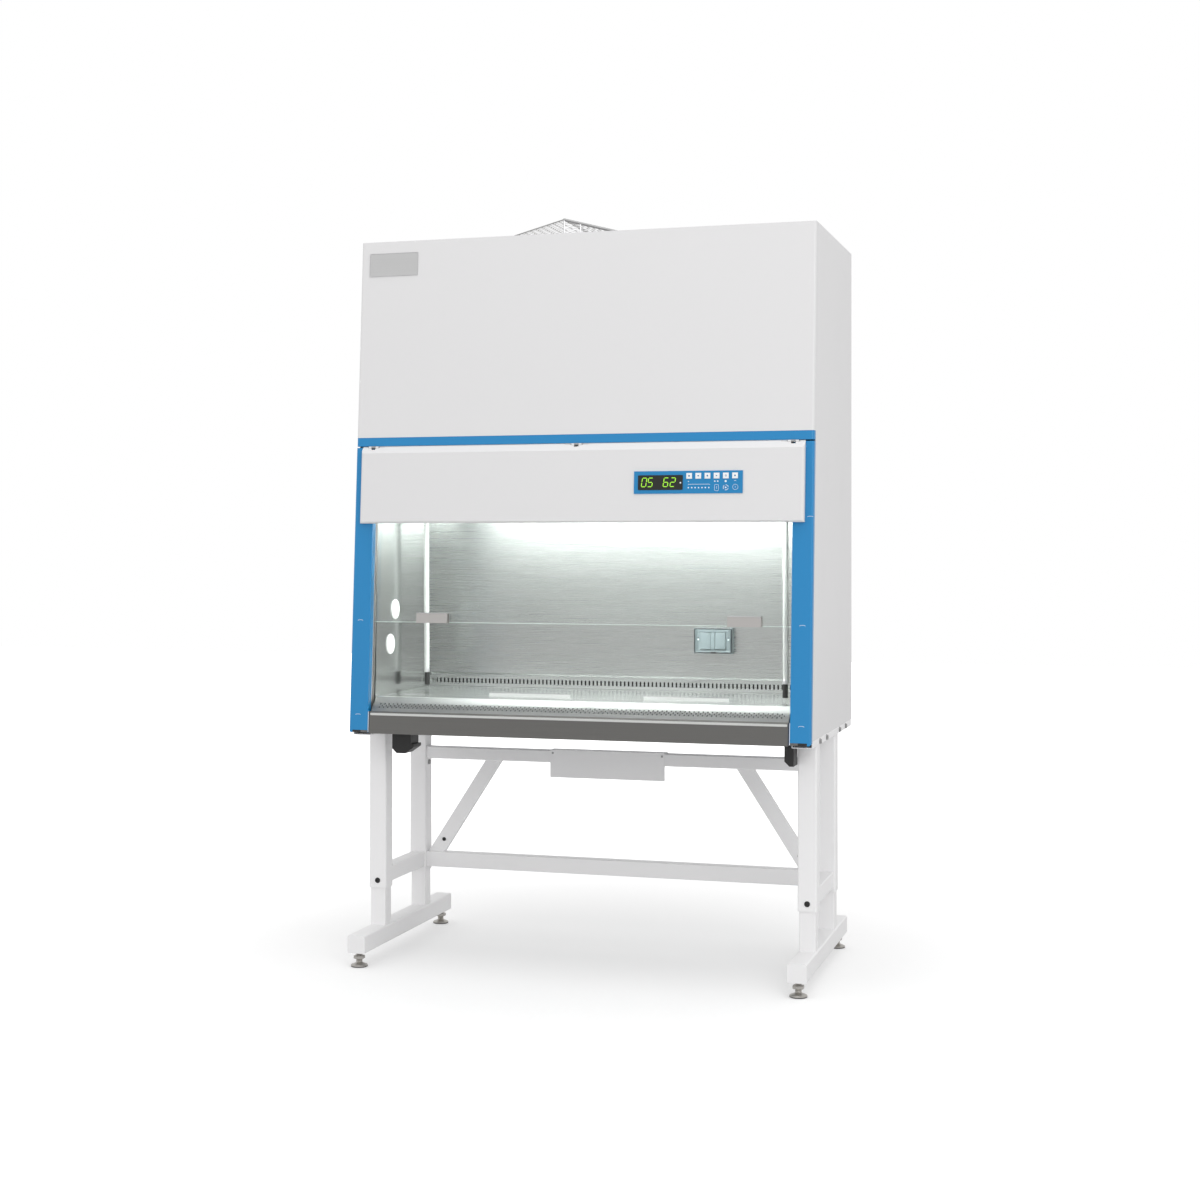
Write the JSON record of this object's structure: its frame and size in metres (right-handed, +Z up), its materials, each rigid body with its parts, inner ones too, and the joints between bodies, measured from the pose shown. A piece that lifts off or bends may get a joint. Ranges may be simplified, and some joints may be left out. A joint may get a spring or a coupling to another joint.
{
  "type": "biosafety cabinet",
  "caption": "Class II biological safety cabinet on a height-adjustable stand, with a sliding glass sash, lit steel work chamber, hinged fascia with control panel and roof exhaust guard.",
  "frame": {"origin": "on the floor, at the middle of the part's bounding box", "axes": "+Z up, -Y front (the sash side), +X the right-hand side seen from the front"},
  "size_m": [1.31, 0.75, 2.106],
  "materials": {
    "cabinet_white": "fine-texture powder coat, satin",
    "trim_blue": "smooth satin paint",
    "badge_silver": "fine brushed, satin",
    "inner_steel": "horizontal fine brush, satin",
    "armrest_steel": "coarse horizontal brush, satin",
    "sheet_steel": "mill finish galvanised sheet",
    "sash_pane": "clear toughened glass, polished edges",
    "sash_metal": "satin anodised",
    "control_blue": "printed membrane, satin",
    "display_dark": "smoked window, glossy",
    "button_white": "soft satin key",
    "plug_white": "moulded, satin",
    "outlet_grey": "moulded, light grain",
    "lamp_glass": "frosted lamp tube",
    "holder_white": "moulded lamp holder",
    "black_plastic": "moulded, light grain",
    "filter_media": "pleated glass-fibre media in a frame",
    "cast_weight": "raw casting",
    "stand_white": "satin powder coat",
    "fastener_zinc": "zinc plated",
    "foot_steel": "zinc plated",
    "guard_wire": "bright wire"
  },
  "bodies": {
    "cabinet": {"armrest": "armrest_steel", "back_panel": "cabinet_white", "badge_plate": "badge_silver", "base_pan": "sheet_steel", "blower_housing": "sheet_steel", "blower_motor": "cast_weight", "chamber_liner": "inner_steel", "counterweight_channels": "sheet_steel", "diffuser": "sheet_steel", "electronics_box": "sheet_steel", "exhaust_filter": "filter_media", "exhaust_guard": "guard_wire", "front_columns": "trim_blue", "front_grille": "inner_steel", "header_trim": "trim_blue", "hood_hinges": "fastener_zinc", "hose_hooks": "black_plastic", "lamp_reflector": "cabinet_white", "lamp_tube": "lamp_glass", "lap_plate": "stand_white", "leg_frames": "stand_white", "main_frame": "sheet_steel", "outlet_box": "outlet_grey", "port_plugs": "plug_white", "power_inlet": "black_plastic", "rear_braces": "stand_white", "rear_crossbars": "stand_white", "rear_return_grille": "inner_steel", "roof_panel": "cabinet_white", "sash_guides": "sash_metal", "side_panels": "cabinet_white", "stand_fasteners": "fastener_zinc", "supply_filter": "filter_media", "supply_plenum": "sheet_steel", "upper_front_cover": "cabinet_white", "uv_holders": "black_plastic", "uv_tubes": "lamp_glass"},
    "sash": {"sash_glass": "sash_pane", "sash_fittings": "sash_metal"},
    "lift_shaft": {"lift_shaft": "fastener_zinc"},
    "counterweights": {"counterweights": "cast_weight"},
    "hood": {"fascia_hood": "cabinet_white", "control_plate": "control_blue", "display_window": "display_dark"},
    "work_tray": {"work_tray": "inner_steel"},
    "left_flap": {"left_outlet_flap": "outlet_grey"},
    "right_flap": {"right_outlet_flap": "outlet_grey"},
    "impeller": {"impeller": "sheet_steel"},
    "left_foot_frame": {"left_foot_frame": "stand_white"},
    "right_foot_frame": {"right_foot_frame": "stand_white"},
    "front_left_foot": {"front_left_foot": "foot_steel"},
    "rear_left_foot": {"rear_left_foot": "foot_steel"},
    "front_right_foot": {"front_right_foot": "foot_steel"},
    "rear_right_foot": {"rear_right_foot": "foot_steel"},
    "button_1": {"button_1": "button_white"},
    "button_2": {"button_2": "button_white"},
    "button_3": {"button_3": "button_white"},
    "button_4": {"button_4": "button_white"},
    "button_5": {"button_5": "button_white"},
    "button_6": {"button_6": "button_white"}
  },
  "joints": [
    {"name": "sash_slide", "type": "slide", "parent": "cabinet", "child": "sash", "axis": [0, 0.0698, 0.9976], "range_m": [-0.218, 0.245]},
    {"name": "lift_shaft_turn", "type": "hinge", "parent": "cabinet", "child": "lift_shaft", "pos_m": [0, -0.19604, 1.985], "axis": [1, 0, 0], "range_deg": [-565, 503]},
    {"name": "counterweight_slide", "type": "slide", "parent": "cabinet", "child": "counterweights", "axis": [0, 0, 1], "range_m": [-0.246, 0.219]},
    {"name": "hood_hinge", "type": "hinge", "parent": "cabinet", "child": "hood", "pos_m": [0, -0.29784, 1.453], "axis": [-1, 0, 0], "range_deg": [0, 75]},
    {"name": "tray_lift", "type": "slide", "parent": "cabinet", "child": "work_tray", "axis": [0, 0, 1], "range_m": [0, 0.012]},
    {"name": "left_flap_hinge", "type": "hinge", "parent": "cabinet", "child": "left_flap", "pos_m": [0.278, 0.1212, 0.901], "axis": [0, 0, 1], "range_deg": [0, 85], "stiffness_Nm_per_rad": 0.02, "springref_deg": -11.46},
    {"name": "right_flap_hinge", "type": "hinge", "parent": "cabinet", "child": "right_flap", "pos_m": [0.296, 0.1212, 0.901], "axis": [0, 0, -1], "range_deg": [0, 85], "stiffness_Nm_per_rad": 0.02, "springref_deg": -11.46},
    {"name": "impeller_spin", "type": "hinge", "parent": "cabinet", "child": "impeller", "pos_m": [-0.1, 0.04, 1.7535], "axis": [1, 0, 0], "continuous": true},
    {"name": "left_height", "type": "slide", "parent": "cabinet", "child": "left_foot_frame", "axis": [0, 0, 1], "range_m": [-0.15, 0.1]},
    {"name": "right_height", "type": "slide", "parent": "cabinet", "child": "right_foot_frame", "axis": [0, 0, 1], "range_m": [-0.15, 0.1]},
    {"name": "front_left_foot_screw", "type": "slide", "parent": "left_foot_frame", "child": "front_left_foot", "axis": [0, 0, 1], "range_m": [-0.008, 0.008]},
    {"name": "rear_left_foot_screw", "type": "slide", "parent": "left_foot_frame", "child": "rear_left_foot", "axis": [0, 0, 1], "range_m": [-0.008, 0.008]},
    {"name": "front_right_foot_screw", "type": "slide", "parent": "right_foot_frame", "child": "front_right_foot", "axis": [0, 0, 1], "range_m": [-0.008, 0.008]},
    {"name": "rear_right_foot_screw", "type": "slide", "parent": "right_foot_frame", "child": "rear_right_foot", "axis": [0, 0, 1], "range_m": [-0.008, 0.008]},
    {"name": "button_1_press", "type": "slide", "parent": "hood", "child": "button_1", "axis": [0, 0.9976, -0.0698], "range_m": [0, 0.001], "stiffness_N_per_m": 1500, "springref_m": -0.0005},
    {"name": "button_2_press", "type": "slide", "parent": "hood", "child": "button_2", "axis": [0, 0.9976, -0.0698], "range_m": [0, 0.001], "stiffness_N_per_m": 1500, "springref_m": -0.0005},
    {"name": "button_3_press", "type": "slide", "parent": "hood", "child": "button_3", "axis": [0, 0.9976, -0.0698], "range_m": [0, 0.001], "stiffness_N_per_m": 1500, "springref_m": -0.0005},
    {"name": "button_4_press", "type": "slide", "parent": "hood", "child": "button_4", "axis": [0, 0.9976, -0.0698], "range_m": [0, 0.001], "stiffness_N_per_m": 1500, "springref_m": -0.0005},
    {"name": "button_5_press", "type": "slide", "parent": "hood", "child": "button_5", "axis": [0, 0.9976, -0.0698], "range_m": [0, 0.001], "stiffness_N_per_m": 1500, "springref_m": -0.0005},
    {"name": "button_6_press", "type": "slide", "parent": "hood", "child": "button_6", "axis": [0, 0.9976, -0.0698], "range_m": [0, 0.001], "stiffness_N_per_m": 1500, "springref_m": -0.0005}
  ],
  "couplings": [
    {"joint": "lift_shaft_turn", "follows": "sash_slide", "rad_per_m": -40},
    {"joint": "counterweight_slide", "follows": "sash_slide", "ratio": -1},
    {"joint": "right_height", "follows": "left_height", "ratio": 1}
  ]
}
